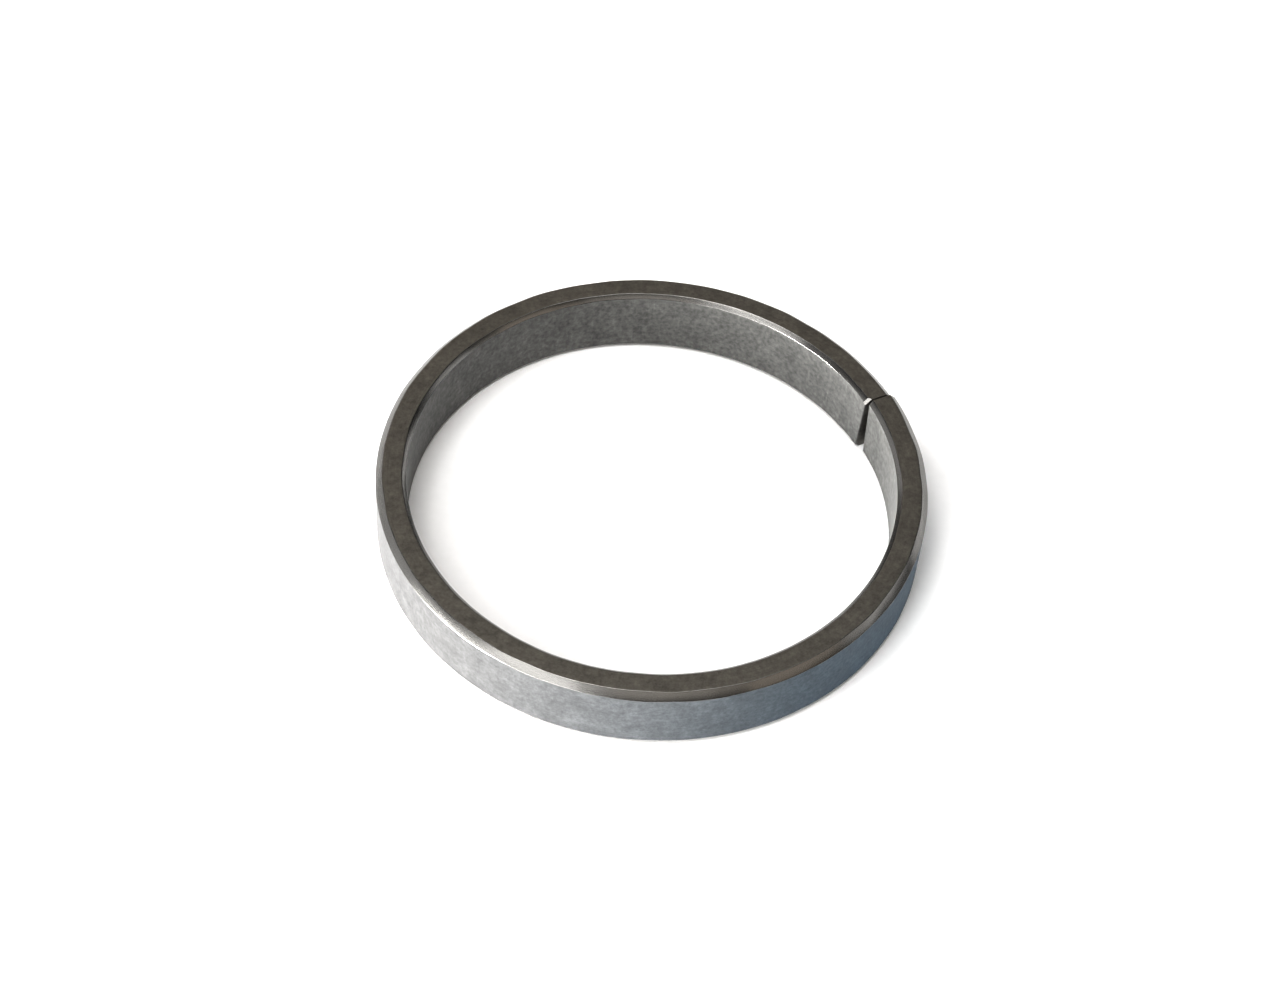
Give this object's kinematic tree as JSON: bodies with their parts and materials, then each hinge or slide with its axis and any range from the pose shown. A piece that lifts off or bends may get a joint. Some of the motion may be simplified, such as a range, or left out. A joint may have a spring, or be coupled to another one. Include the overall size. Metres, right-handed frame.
{
  "type": "split spacer ring",
  "caption": "Plain split spacer ring rolled from flat steel strip, with an open butt joint, used to hold bearings or gears apart on a gearbox shaft.",
  "frame": {"origin": "the bore's axis where it meets the bottom face", "axes": "+Z along the bore's axis and up from the face the ring lies on; the joint lies 30 degrees from +X towards +Y"},
  "size_m": [0.0576, 0.0574, 0.008],
  "materials": {
    "steel_strip": "rolled mild steel strip, dull grey with cloudy patches, edges rubbed bright"
  },
  "bodies": {
    "root": {"spacer_ring": "steel_strip"}
  },
  "joints": []
}
